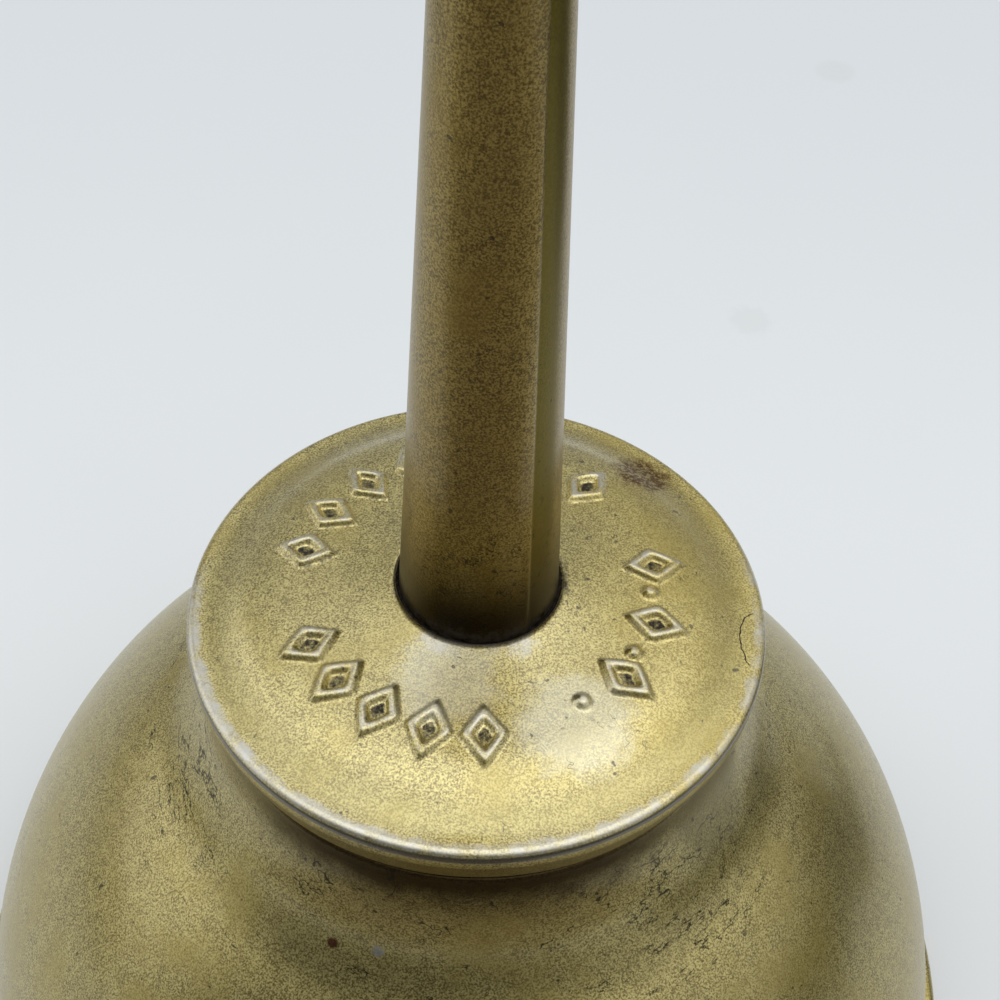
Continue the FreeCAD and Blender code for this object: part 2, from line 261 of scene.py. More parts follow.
class Finish:
    """Short names for the shader nodes that the materials are built from."""

    def __init__(self, name):
        self.material = bpy.data.materials.new(name)
        self.material.use_nodes = True
        self.tree = self.material.node_tree
        self.shader = self.tree.nodes["Principled BSDF"]
        coordinates = self.node("ShaderNodeTexCoord").outputs["Object"]
        in_mm = self.node("ShaderNodeVectorMath", coordinates, operation="SCALE")
        in_mm.inputs["Scale"].default_value = 1 / MM
        self.place = in_mm.outputs[0]
        self.x, self.y, self.z = self.node("ShaderNodeSeparateXYZ", self.place).outputs

    def node(self, kind, *values, **settings):
        made = self.tree.nodes.new(kind)
        for key, value in settings.items():
            setattr(made, key, value)
        for socket, value in zip(made.inputs, values):
            self.put(socket, value)
        return made

    def put(self, socket, value):
        if isinstance(value, bpy.types.NodeSocket):
            self.tree.links.new(value, socket)
        else:
            socket.default_value = value

    def combined(self, *parts):
        return self.node("ShaderNodeCombineXYZ", *parts).outputs[0]

    def distance(self, first, second):
        made = self.node("ShaderNodeVectorMath", first, second, operation="DISTANCE")
        return made.outputs["Value"]

    def math(self, operation, *values):
        return self.node("ShaderNodeMath", *values, operation=operation).outputs[0]

    def times(self, *values):
        product = values[0]
        for value in values[1:]:
            product = self.math("MULTIPLY", product, value)
        return product

    def ease(self, value, low, high, out_low=0.0, out_high=1.0):
        made = self.node("ShaderNodeMapRange", value, low, high, out_low, out_high)
        made.interpolation_type = "SMOOTHSTEP"
        return made.outputs[0]

    def noise(self, per_mm, detail=2.0, roughness=0.5, place=None, shift=0.0):
        """Noise with about that many grains to a millimetre."""
        place = place or self.place
        if shift:
            place = self.node("ShaderNodeVectorMath", place, (shift, shift, shift)).outputs[0]
        made = self.node("ShaderNodeTexNoise")
        self.put(made.inputs["Vector"], place)
        made.inputs["Scale"].default_value = per_mm
        made.inputs["Detail"].default_value = detail
        made.inputs["Roughness"].default_value = roughness
        return made.outputs[0]

    def mix(self, share, first, second):
        made = self.node("ShaderNodeMix", data_type="RGBA")
        self.put(made.inputs["Factor"], share)
        for socket, value in zip(made.inputs[6:8], (first, second)):
            self.put(socket, value if isinstance(value, bpy.types.NodeSocket) else (*value, 1))
        return made.outputs[2]

    def blend(self, share, first, second):
        """A number between two others."""
        difference = self.math("SUBTRACT", second, first)
        return self.math("MULTIPLY_ADD", difference, share, first)

    def mask(self, name):
        return self.node("ShaderNodeAttribute", attribute_name=name).outputs["Fac"]

    def from_axis(self):
        """Distance from the object's axis, in millimetres."""
        across = self.math("MULTIPLY", self.x, self.x)
        return self.math("SQRT", self.math("MULTIPLY_ADD", self.y, self.y, across))

    def around(self):
        """Angle about the object's axis, in radians."""
        return self.math("ARCTAN2", self.y, self.x)

    def near(self, point, radius, ragged=0.5):
        """1 at a point given in millimetres, falling to 0 at a ragged radius round it."""
        apart = self.distance(self.place, point)
        wavy = self.math("MULTIPLY_ADD", self.noise(0.9, 3.0), radius * ragged, apart)
        return self.ease(wavy, radius * (0.55 + ragged / 2), radius * (1 + ragged / 2), 1.0, 0.0)

    def hairlines(self, per_mm, width, kept, shift=0.0, place=None):
        """Thin broken lines: where a slow noise crosses its middle, and a second lets it."""
        wander = self.noise(per_mm, 3.0, 0.6, place, shift)
        off = self.math("ABSOLUTE", self.math("SUBTRACT", wander, 0.5))
        line = self.ease(off, 0.0, width, 1.0, 0.0)
        gaps = self.noise(per_mm * 0.8, 1.0, 0.5, place, shift + 31)
        return self.times(line, self.ease(gaps, kept, kept + 0.06))

    def bump(self, height, strength, distance):
        made = self.node("ShaderNodeBump")
        made.inputs["Strength"].default_value = strength
        made.inputs["Distance"].default_value = distance
        self.put(made.inputs["Height"], height)
        self.put(self.shader.inputs["Normal"], made.outputs[0])

    def surface(self, **sockets):
        for name, value in sockets.items():
            socket = self.shader.inputs[name.replace("_", " ")]
            colour = isinstance(value, tuple) and len(value) == 3
            self.put(socket, (*value, 1) if colour else value)
        return self.material


# Lacquers, their tints at grazing angles, and factors on a lacquer's colour for its flakes and
# its slow patches.
CAN_BRONZE = (0.36, 0.297, 0.102)
CAP_BRONZE = (0.450, 0.374, 0.128)
SPOUT_BRONZE = (0.238, 0.171, 0.042)
BRONZE_EDGE, SPOUT_EDGE = (1.0, 0.97, 0.9), (1.0, 0.955, 0.86)
DARK_FLAKES, LIGHT_FLAKES = (0.42, 0.38, 0.30), (1.50, 1.55, 1.75)
WARM_PATCHES, DULL_PATCHES = (0.95, 0.90, 0.62), (0.80, 0.80, 0.95)
# What lies on the lacquer or shows through it, and the colours of painted shade and painted
# highlight.
WORN_ROUGHNESS, CAKED_ROUGHNESS = 0.38, 0.85
# Bare steel colour, also used for painted highlights.
BARE_STEEL_AND_HIGHLIGHT = (0.52, 0.505, 0.45)
# Dark grime colour, also used for painted shade.
GRIME_AND_SHADE = (0.010, 0.007, 0.004)
RUST = (0.10, 0.036, 0.006)
# Painted shade on the neck, right of the cap.
NECK_SHADE = (0.10, 0.085, 0.035)
# Painted shadow under the cap's overhang.
CAP_SHADOW_BROWN = (0.020, 0.008, 0.0015)
SCUFF = (0.014, 0.013, 0.009)
GREY_METAL = (0.30, 0.31, 0.30)
RED_PAINT = (0.07, 0.012, 0.010)
WARM_GOLD = (0.50, 0.35, 0.0)
# Painted highlight colour for the cap's face.
HIGHLIGHT_PALE = (0.64, 0.63, 0.53)
# Painted shade in the ring between the face and the bead.
GROOVE_SHADE_GOLD = (0.25, 0.21, 0.05)
# Painted dark reflection on the bead's outer slope.
BEAD_SHADE_GREY = (0.040, 0.038, 0.033)
SKIRT_BROWN = (0.17, 0.125, 0.045)
# Painted shade on the strip past the spout's lap.
LAP_SHADE_OLIVE = (0.105, 0.082, 0.006)
# Painted shade at the spout's foot.
FOOT_SHADE_BROWN = (0.008, 0.003, 0.0004)
# Painted shade on the upper spout.
TOP_SHADE_BROWN = (0.10, 0.062, 0.004)
NICK_STEEL = (0.45, 0.44, 0.40)
WORN_GREY = (0.16, 0.15, 0.12)
TABLE_NEAR, TABLE_NEAR_PALE = (0.680, 0.700, 0.712), (0.705, 0.725, 0.733)
# Painted shade: the table's tone towards the back.
TABLE_FAR_SHADE = (0.615, 0.640, 0.657)
SMUDGED_TABLE = (0.42, 0.43, 0.36)


def scaled(colour, factors):
    return tuple(c * k for c, k in zip(colour, factors))


def lacquered(name, base, stains, rough, coat, edge, masked=False, dirt=None):
    """Bronze lacquer: a fine flaky speckle round the base colour under slow patches, small
    pits and short hairlines, then steel rubbed through with painted highlights, and dirt with
    painted shade, where the piece's masks say so. Each stain is where it lies, its colour, how
    much of it covers, and how far it takes the gloss away; some of them are painted shade and
    highlight."""
    f = Finish(name)
    grain = f.noise(7.5, 1.0, 0.6)
    mottle = f.noise(1.1, 3.0, 0.6, shift=7)
    cloud = f.noise(0.14, 3.0, 0.55, shift=3)
    flakes = f.math("MULTIPLY_ADD", f.math("SUBTRACT", mottle, 0.5), 0.22, grain)
    tone = f.mix(f.ease(flakes, 0.29, 0.71), scaled(base, DARK_FLAKES), scaled(base, LIGHT_FLAKES))
    tone = f.mix(f.ease(cloud, 0.46, 0.68, 0.0, 0.55), tone, scaled(base, WARM_PATCHES))
    tone = f.mix(f.ease(cloud, 0.52, 0.30, 0.0, 0.22), tone, scaled(base, DULL_PATCHES))
    scratch = f.hairlines(0.35, 0.006, 0.60, shift=11)
    pits = f.ease(f.noise(1.5, 1.0, 0.5, shift=19), 0.745, 0.775)
    marred = f.math("MAXIMUM", scratch, pits)
    dull = 0.0
    for stain, colour, amount, matt in stains:
        share = f.times(stain(f), amount)
        tone = f.mix(share, tone, colour)
        dull = f.math("MAXIMUM", dull, f.times(share, matt))
    tone = f.mix(f.times(marred, 0.7), tone, GRIME_AND_SHADE)
    # Steel showing through, partly real wear and partly painted highlight, where the piece's mask
    # says so.
    bare_and_highlight = f.mask("wear_and_highlight") if masked else 0.0
    worn_and_highlight = f.ease(f.math("MULTIPLY_ADD", f.noise(0.7, 4.0, 0.65, shift=5), 0.9, bare_and_highlight), 0.75, 1.25)
    tone = f.mix(worn_and_highlight, tone, BARE_STEEL_AND_HIGHLIGHT)
    # Dirt, partly real and partly painted shade in gaps, hollows and creases, where the piece's
    # mask says so.
    dirt_and_shade = f.mask("grime_and_shade") if masked else 0.0
    if dirt:
        dirt_and_shade = f.math("MAXIMUM", dirt_and_shade, dirt(f))
    crumbs = f.noise(2.2, 4.0, 0.7, shift=13)
    caked_and_shaded = f.ease(f.math("MULTIPLY_ADD", crumbs, 0.8, dirt_and_shade), 0.80, 1.15)
    tone = f.mix(caked_and_shaded, tone, GRIME_AND_SHADE)
    clean_rough = f.math("MULTIPLY_ADD", grain, 0.16, rough - 0.08)
    roughness = f.blend(worn_and_highlight, clean_rough, WORN_ROUGHNESS)
    roughness = f.blend(caked_and_shaded, roughness, CAKED_ROUGHNESS)
    metal = f.blend(caked_and_shaded, 0.95, 0.0)
    relief = f.math("SUBTRACT", grain, f.times(marred, 0.8))
    f.bump(relief, 0.30, 0.03 * MM)
    return f.surface(
        Base_Color=tone, Roughness=roughness, Metallic=metal, Specular_Tint=edge,
        Coat_Weight=f.blend(f.math("MAXIMUM", dull, caked_and_shaded), coat, 0.0),
        Coat_Roughness=0.18, Coat_IOR=1.65,
    )


def scuffs(f):
    """Broken dark marks that run round the neck, densest at two sides."""
    across = f.from_axis()
    place = f.combined(f.times(f.around(), 7.0), f.times(across, 1.5), 0.0)
    dense = f.hairlines(0.9, 0.023, 0.47, shift=2, place=place)
    sparse = f.hairlines(0.9, 0.015, 0.56, shift=8, place=place)
    sides = f.math("MAXIMUM", f.near(*SCUFFED_RIGHT, 0.3), f.near(*SCUFFED_LEFT, 0.3))
    return f.math("MAXIMUM", f.times(dense, sides), f.times(sparse, f.ease(across, 29.0, 24.0)))


def under_cap_shadow(f):
    """Painted shadow that the cap's overhang casts on the neck, thickest at the front."""
    ragged = f.math("MULTIPLY_ADD", f.noise(0.5, 3.0, 0.6, shift=41), 3.0, f.z)
    level = f.ease(ragged, SHOULDER_LEVEL - 4.0, SHOULDER_LEVEL + 0.8)
    return f.times(level, f.ease(f.y, -9.0, -17.0, 0.32, 1.0))


def lap_shade(f):
    """Painted shade on the strip past the spout's lap."""
    around = f.around()
    begun = f.ease(around, SEAM_ANGLE - 0.02, SEAM_ANGLE + 0.01)
    return f.times(begun, f.ease(around, SEAM_ANGLE + 0.55, SEAM_ANGLE + 0.28))


def spout_crackle(f):
    """Short dark cracks low on the spout."""
    low = f.ease(f.z, BEAD_LEVEL + 24.0, BEAD_LEVEL + 8.0)
    return f.times(f.hairlines(0.55, 0.022, 0.50, shift=27), low)


def hair(f):
    """A fine dark hair stuck in the lacquer near the bead."""
    wander = f.times(f.math("SUBTRACT", f.noise(0.8, 2.0, 0.5, shift=33), 0.5), 0.9)
    apart = f.distance(f.combined(f.x, f.y, 0.0), HAIR_CENTRE)
    off = f.math("ABSOLUTE", f.math("ADD", f.math("SUBTRACT", apart, HAIR_RADIUS), wander))
    near = f.near(*HAIR_PLACE, 0.0)
    return f.times(f.ease(off, 0.070, 0.028), near, 1.2)


def highlight_streaks(f):
    """Two paler streaks of painted highlight on the cap's face, in front of the spout."""
    left = f.near(*HIGHLIGHT_LEFT, 0.6)
    right = f.near(*HIGHLIGHT_RIGHT, 0.6)
    return f.math("MAXIMUM", left, right)


def groove_shade(f):
    """Painted shade: a darker ring between the face and the bead, strongest at the front."""
    across = f.from_axis()
    ring = f.times(f.ease(across, 16.4, 17.5), f.ease(across, 19.1, 18.5))
    return f.times(ring, f.ease(f.y, 3.0, -8.0, 0.15, 1.0))


def bead_shade_band(f):
    """A painted dark reflection on the outer slope of the bead."""
    slope = f.ease(f.from_axis(), 19.94, 20.01)
    return f.times(slope, f.ease(f.z, BEAD_LEVEL - 0.38, BEAD_LEVEL - 0.12))


def rust_spot(f):
    """Rust that has come through the cap's lacquer in small pricks."""
    pricks = f.ease(f.noise(3.2, 3.0, 0.7, shift=17), 0.42, 0.56, 0.35, 1.0)
    return f.times(pricks, f.near(*RUST_PATCH, 0.9))


def skirt_band(f):
    """The brown skirt below the bead."""
    return f.ease(f.z, BEAD_LEVEL - 0.9, BEAD_LEVEL - 1.3)


def warm_side(f):
    """The cap's right half, where its lacquer is warmer."""
    return f.ease(f.x, 2.0, 15.0)


def spout_foot_shade(f):
    """The spout's foot, darkened with painted shade."""
    return f.ease(f.z, BEAD_LEVEL + 13.5, BEAD_LEVEL + 4.5)


def spout_top_shade(f):
    """Painted shade on the upper spout, browner than the middle."""
    return f.ease(f.z, BEAD_LEVEL + 42.0, BEAD_LEVEL + 72.0)


def spot(place, ragged=0.5):
    """A stain function for one of the places given above."""
    return lambda f: f.near(*place, ragged)


def can_lacquer():
    stains = [
        # Painted shade on the neck, right of the cap.
        (spot(SHADED_NECK, 0.4), NECK_SHADE, 0.55, 1.0),
        # Painted shadow of the cap on the neck.
        (under_cap_shadow, CAP_SHADOW_BROWN, 0.93, 1.0),
        (scuffs, SCUFF, 0.95, 1.0),
        (spot(GREY_CHIP, 0.8), GREY_METAL, 0.7, 0.0),
        (spot(RED_CHIP, 0.8), RED_PAINT, 0.9, 1.0),
    ]
    return lacquered("can_lacquer", CAN_BRONZE, stains, 0.36, 0.4, BRONZE_EDGE)


def cap_lacquer():
    stains = [
        (warm_side, WARM_GOLD, 0.22, 0.0),
        # Painted highlights: two pale streaks on the cap's face.
        (highlight_streaks, HIGHLIGHT_PALE, 0.36, 0.0),
        # Painted shade in the ring between the face and the bead.
        (groove_shade, GROOVE_SHADE_GOLD, 0.35, 0.0),
        # Painted dark reflection on the bead's outer slope.
        (bead_shade_band, BEAD_SHADE_GREY, 0.90, 0.3),
        (skirt_band, SKIRT_BROWN, 0.72, 1.0),
        (rust_spot, RUST, 0.95, 0.9),
    ]
    return lacquered("cap_lacquer", CAP_BRONZE, stains, 0.37, 1.0, BRONZE_EDGE, True, hair)


def spout_lacquer():
    stains = [
        # Painted shade on the strip past the spout's lap.
        (lap_shade, LAP_SHADE_OLIVE, 0.84, 1.0),
        # Painted shade at the spout's foot.
        (spout_foot_shade, FOOT_SHADE_BROWN, 0.96, 1.0),
        # Painted shade on the upper spout.
        (spout_top_shade, TOP_SHADE_BROWN, 0.7, 0.3),
        (spot(PALE_SPOUT_NICK), NICK_STEEL, 0.7, 0.0),
        (spot(GREY_SPOUT_PATCH), WORN_GREY, 0.6, 0.0),
        (spout_crackle, GRIME_AND_SHADE, 0.8, 1.0),
    ]
    return lacquered("spout_lacquer", SPOUT_BRONZE, stains, 0.37, 0.34, SPOUT_EDGE, True)


def turned_metal(name, base, shade, ridges, rough):
    """Bare metal with fine turning lines, a slow tarnish and a few oil spots."""
    f = Finish(name)
    lines = f.combined(f.times(f.from_axis(), ridges), f.times(f.z, ridges), 0.0)
    turning = f.noise(1.0, 3.0, 0.6, place=lines)
    tarnish = f.ease(f.noise(0.22, 5.0, 0.6, shift=4), 0.30, 0.78)
    tone = f.mix(tarnish, base, shade)
    spots = f.ease(f.noise(0.8, 3.0, 0.5, shift=23), 0.64, 0.74)
    tone = f.mix(f.times(spots, 0.45), tone, tuple(c * 0.35 for c in shade))
    roughness = f.math("MULTIPLY_ADD", turning, 0.18, f.math("MULTIPLY_ADD", tarnish, 0.12, rough))
    f.bump(f.math("ADD", turning, f.times(spots, -0.4)), 0.25, 0.03 * MM)
    return f.surface(Base_Color=tone, Roughness=roughness, Metallic=1.0)


def dull_solder():
    f = Finish("dull_solder")
    lumps = f.noise(0.9, 4.0, 0.6)
    tone = f.mix(f.ease(lumps, 0.35, 0.65), (0.24, 0.24, 0.24), (0.52, 0.52, 0.51))
    f.bump(lumps, 0.5, 0.1 * MM)
    return f.surface(Base_Color=tone, Roughness=f.ease(lumps, 0.3, 0.7, 0.6, 0.38), Metallic=1.0)


def oiled_leather():
    f = Finish("oiled_leather")
    grain = f.noise(2.4, 5.0, 0.65)
    blotch = f.noise(0.3, 2.0, 0.5, shift=9)
    tone = f.mix(f.ease(grain, 0.35, 0.62), (0.028, 0.014, 0.007), (0.115, 0.058, 0.026))
    tone = f.mix(f.ease(blotch, 0.45, 0.7), tone, (0.030, 0.018, 0.010))
    f.bump(grain, 0.6, 0.12 * MM)
    return f.surface(Base_Color=tone, Roughness=f.ease(blotch, 0.4, 0.7, 0.7, 0.45))


def packed_grime():
    f = Finish("packed_grime")
    crumbs = f.noise(3.0, 5.0, 0.7)
    tone = f.mix(f.ease(crumbs, 0.4, 0.65), (0.004, 0.003, 0.002), (0.022, 0.013, 0.007))
    f.bump(crumbs, 0.9, 0.15 * MM)
    rough = f.ease(crumbs, 0.3, 0.7, 0.95, 0.7)
    return f.surface(Base_Color=tone, Roughness=rough, Specular_IOR_Level=0.15)


def table_top():
    """A pale table, with painted shade making it a little darker towards the back, and two soft
    smudges.
    """
    f = Finish("table_top")
    cloud = f.noise(0.012, 3.0, 0.5)
    tone = f.mix(f.ease(cloud, 0.3, 0.7), TABLE_NEAR, TABLE_NEAR_PALE)
    # Painted shade: darker towards the back.
    tone = f.mix(f.ease(f.y, -10.0, 190.0), tone, TABLE_FAR_SHADE)
    smudge = f.math("MAXIMUM", *(f.near(*place) for place in TABLE_SMUDGES))
    tone = f.mix(f.times(smudge, 0.12), tone, SMUDGED_TABLE)
    return f.surface(Base_Color=tone, Roughness=0.7)


# ---------------------------------------------------------------- pieces

def dress(piece, material, body, node):
    """Gives a piece its finish and makes it stand for its CAD node."""
    piece.data.materials.append(material)
    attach(piece, body)
    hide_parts(node)


def flare():
    """Radius of the arc between neck and dome, and where it meets the dome, seen from the
    dome's centre as a direction."""
    rise = FLARE_FOOT - RIM_HEIGHT
    radius = NECK_RADIUS**2 + rise**2 - DOME_RADIUS**2
    radius /= 2 * (DOME_RADIUS - NECK_RADIUS)
    return radius, math.degrees(math.atan2(rise, NECK_RADIUS + radius))


def dented(radius, turn, height):
    """Slow unevenness of a drawn and handled shell, none at the rim and the neck."""
    fade = smooth_step(height, RIM_HEIGHT, RIM_HEIGHT + 8 * MM)
    fade *= smooth_step(height, SHOULDER - 1 * MM, SHOULDER - 8 * MM)
    x, y = radius * np.cos(turn), radius * np.sin(turn)
    waves = sampled(lambda p: noise.noise(p * DENTS_PER_METRE), x, y, height)
    return radius - DENT_DEPTH * fade * (0.5 + waves), turn, height


def make_can():
    radius, meet = flare()
    centre = (0.0, RIM_HEIGHT)
    flare_centre = (NECK_RADIUS + radius, FLARE_FOOT)
    lower = SHOULDER - GAUGE
    dome_foot = math.degrees(math.asin(0.55 * MM / DOME_RADIUS))
    corners = [
        (RIM_RADIUS - RIM_WIDTH, 0.0, 0.2 * MM),
        (RIM_RADIUS, 0.0, 0.8 * MM),
        (RIM_RADIUS, RIM_HEIGHT, 0.8 * MM),
        (DOME_RADIUS, RIM_HEIGHT, 0.35 * MM),
    ]
    corners += unrounded(arc(centre, DOME_RADIUS, dome_foot, meet, 90))
    corners += unrounded(arc(flare_centre, radius, 180 + meet, 180, 34)[1:])
    corners += [
        (NECK_RADIUS, SHOULDER, 0.35 * MM),
        (NECK_BORE + GAUGE, SHOULDER, 0),
        (NECK_BORE + GAUGE, NECK_TOP, 0),
        (NECK_BORE, NECK_TOP, 0),
        (NECK_BORE, lower, 0.2 * MM),
        (NECK_RADIUS - GAUGE, lower, 0.1 * MM),
    ]
    corners += unrounded(arc(flare_centre, radius + GAUGE, 180, 180 + meet, 24))
    corners += unrounded(arc(centre, DOME_RADIUS - GAUGE, meet, 0, 60)[1:])
    corners += [
        (DOME_RADIUS - GAUGE, RIM_HEIGHT - GAUGE, 0),
        (RIM_RADIUS - GAUGE, RIM_HEIGHT - GAUGE, 0.3 * MM),
        (RIM_RADIUS - GAUGE, GAUGE, 0.3 * MM),
        (RIM_RADIUS - RIM_WIDTH, GAUGE, 0.2 * MM),
    ]
    can = lathe("can_shell", soft_outline(corners), 288, dented)
    dress(can, can_lacquer(), "can", "body_shell")


def face_height(radius):
    """Height of the cap's face above the bead's plane: a smooth curve through FACE."""
    across, up = (np.array(column) for column in zip(*FACE))
    slope = np.gradient(up, across)
    slope[0], slope[-1] = -0.26, 0.0
    place = np.clip(radius / MM, across[0], across[-1])
    i = np.clip(np.searchsorted(across, place) - 1, 0, len(across) - 2)
    width = across[i + 1] - across[i]
    t = (place - across[i]) / width
    value = (2 * t**3 - 3 * t**2 + 1) * up[i] + (t**3 - 2 * t**2 + t) * width * slope[i]
    value += (3 * t**2 - 2 * t**3) * up[i + 1] + (t**3 - t**2) * width * slope[i + 1]
    return value * MM


def middles(groups):
    """The angle of every mark in the groups."""
    return [math.radians(first + k * step) for first, step, count in groups for k in range(count)]


def raised_marks(radius, turn):
    """From 0 to 1, how far the embossing stands up there: hollow lozenges and round pips. The
    second result is 1 in the hollows and less along the foot of the marks, where dirt and
    painted shade lie."""
    half_long, half_wide, to_side = LOZENGE
    height, pocket = np.zeros_like(radius), np.zeros_like(radius)
    along = (radius - MARK_RING) / MM
    for middle in middles(LOZENGES):
        aside = radius * turned_from(turn, middle) / MM
        ring = np.hypot(along / half_long, 0.08) + np.hypot(aside / half_wide, 0.08)
        ring *= to_side
        from_stroke = np.abs(ring - (to_side - 0.34))
        height = np.maximum(height, 1 - smooth_step(from_stroke, 0.12, 0.48))
        hollow = 1 - smooth_step(ring, 0.42, 0.70)
        foot = 1 - smooth_step(np.abs(ring - to_side - 0.10), 0.05, 0.22)
        pocket = np.maximum(pocket, np.maximum(hollow, 0.72 * foot))
    for middle in middles(PIPS):
        aside = radius * turned_from(turn, middle) / MM
        apart = np.hypot((radius - PIP_RING) / MM, aside)
        height = np.maximum(height, 1 - smooth_step(apart, 0.20, 0.75))
        foot = 1 - smooth_step(np.abs(apart - 0.75), 0.05, 0.20)
        pocket = np.maximum(pocket, 0.5 * foot)
    return height, pocket


def embossed(radius, turn, height):
    """Presses the marks up through the sheet of the cap's face."""
    face = (height > BEAD_PLANE + FACE_START) & (radius > 9.5 * MM)
    rise = MARK_HEIGHT * raised_marks(radius, turn)[0]
    return radius, turn, height + np.where(face, rise, 0)


def cap_outline():
    """Half of the cap's section: face, bead, roll, skirt, underside, and lip round the hole."""
    top_radii = np.concatenate([
        np.linspace(LIP_RADIUS, MARKED_BAND[0], 14, endpoint=False),
        np.linspace(*MARKED_BAND, 38, endpoint=False),
        np.linspace(MARKED_BAND[1], BEAD_CENTRE, 18),
    ])
    top = [(r, BEAD_PLANE + float(face_height(r))) for r in top_radii]
    bead = arc((BEAD_CENTRE, BEAD_PLANE), BEAD_SECTION, 86, 0, 9)
    roll = arc(ROLL_CENTRE, ROLL_SECTION, 0, -108.7, 8)
    skirt_inner = SKIRT_RADIUS - GAUGE
    skirt = soft_outline([
        (SKIRT_RADIUS, BEAD_PLANE - 1.42 * MM, 0),
        (SKIRT_RADIUS, CAP_LOW.z, 0.18 * MM),
        (skirt_inner, CAP_LOW.z, 0.18 * MM),
        (skirt_inner, BEAD_PLANE - GAUGE / 2, 0),
    ], closed=False)
    under_radii = np.linspace(18.2 * MM, LIP_RADIUS, 14)
    under = [(r, BEAD_PLANE + float(face_height(r)) - GAUGE) for r in under_radii]
    lip = arc((LIP_RADIUS, CAP_HIGH.z - GAUGE / 2 - 0.03 * MM), LIP, 260, 100, 7)
    return top + bead + roll + skirt + under + lip


def cap_wear_and_highlight(radius, turn, height, mark):
    """Where the steel shows, with painted highlights: the bead, strongest on the front half, and
    the roll under it, strongest at the left, the lip, brighter at the front, two streaks of
    painted highlight on the crown in front of the spout, the tops of the marks and the skirt's
    edge."""
    above = height - BEAD_PLANE
    outside = radius > SKIRT_RADIUS - 0.05 * MM
    handled = 0.5 + 0.5 * np.cos(turn - math.radians(-160))
    bead = smooth_step(radius, 18.5 * MM, 19.4 * MM)
    bead *= smooth_step(radius, 20.02 * MM, 19.92 * MM) * (above > 0)
    # Painted highlight: the bead's steel is kept strongest on the front half.
    bead *= 0.2 + 0.8 * smooth_step(-np.sin(turn - math.radians(10)), -0.5, 0.0)
    roll = smooth_step(above, -0.22 * MM, -0.42 * MM)
    roll *= smooth_step(above, -1.25 * MM, -1.0 * MM) * outside
    # Painted reflection: the pale roll is kept strongest at the left.
    roll *= 0.25 + 0.75 * smooth_step(-np.cos(turn), -0.2, 0.4)
    lip = smooth_step(radius, HOLE_RADIUS + 0.5 * MM, HOLE_RADIUS + 0.1 * MM)
    # Painted highlight: two streaks on the crown slope in front of the spout.
    crown = smooth_step(radius, 8.6 * MM, 6.4 * MM) * (above > 2.0 * MM)
    crown *= smooth_step(np.maximum(np.cos(turn + 2.0), np.cos(turn + 1.12)), 0.90, 1.0)
    skirt_edge = smooth_step(height, CAP_LOW.z + 0.20 * MM, CAP_LOW.z + 0.08 * MM)
    return np.maximum.reduce([
        bead * (0.48 + 0.12 * handled) + roll * 0.36,
        # The lip's real wear, with painted highlight added at the front.
        lip * (0.40 + 0.35 * front_side(turn)),
        crown * 0.52,
        smooth_step(mark, 0.5, 1.0) * (above > FACE_START) * 0.50,
        skirt_edge * 0.65,
    ])


def cap_grime_and_shade(radius, turn, height, pocket):
    """Where dirt stays, and painted shade: painted shade in the gap round the spout, dirt in a
    smudge beside it, dirt and painted shade in the marks' hollows, and painted shade in the crease
    under the roll."""
    above = height - BEAD_PLANE
    outside = radius > SKIRT_RADIUS - 0.05 * MM
    # Painted shade in the gap round the spout, lightest at the front.
    gap = smooth_step(radius, HOLE_RADIUS + 0.35 * MM, HOLE_RADIUS - 0.05 * MM)
    smudge = smooth_step(radius, 7.4 * MM, 5.8 * MM)
    smudge *= smooth_step(np.cos(turn - DIRTY_SIDE), 0.80, 1.0)
    # Painted shade in the crease under the roll.
    crease = np.exp(-((above + 1.36 * MM) / (0.13 * MM)) ** 2) * outside
    return np.maximum.reduce([
        gap * (0.8 - 0.6 * front_side(turn)),
        smudge * 0.60,
        # Dirt and painted shade in the marks' hollows.
        pocket * (above > FACE_START) * 0.66,
        crease * 0.62,
    ])


def make_cap():
    cap = lathe("cap", cap_outline(), 760, embossed)
    radius, turn, height = polar(cap)
    mark, pocket = raised_marks(radius, turn)
    paint_mask(cap, "wear_and_highlight", cap_wear_and_highlight(radius, turn, height, mark))
    paint_mask(cap, "grime_and_shade", cap_grime_and_shade(radius, turn, height, pocket))
    dress(cap, cap_lacquer(), "spout_assembly", "cap_flange")


def rolled(radius, turn, height):
    """The sheet laps over itself at the seam: the outer edge stands proud by one step and
    eases back into the round on its far side."""
    past = (turn - SEAM_ANGLE) % TAU
    rise = smooth_step(past, TAU - 1.4, TAU - 0.05)
    drop = smooth_step(past, TAU - 0.045, TAU - 0.005)
    lap = SEAM_STEP * (rise - drop)
    share = (height - SPOUT_LOW.z) / SPOUT_LENGTH
    cone = FOOT_RADIUS + (TIP_RADIUS - FOOT_RADIUS) * share
    skin = smooth_step(radius, cone - 0.3 * MM, cone - 0.05 * MM)
    fade = 1 - 0.7 * share
    return radius + (lap + SPOUT_SWELL) * skin * fade, turn, height


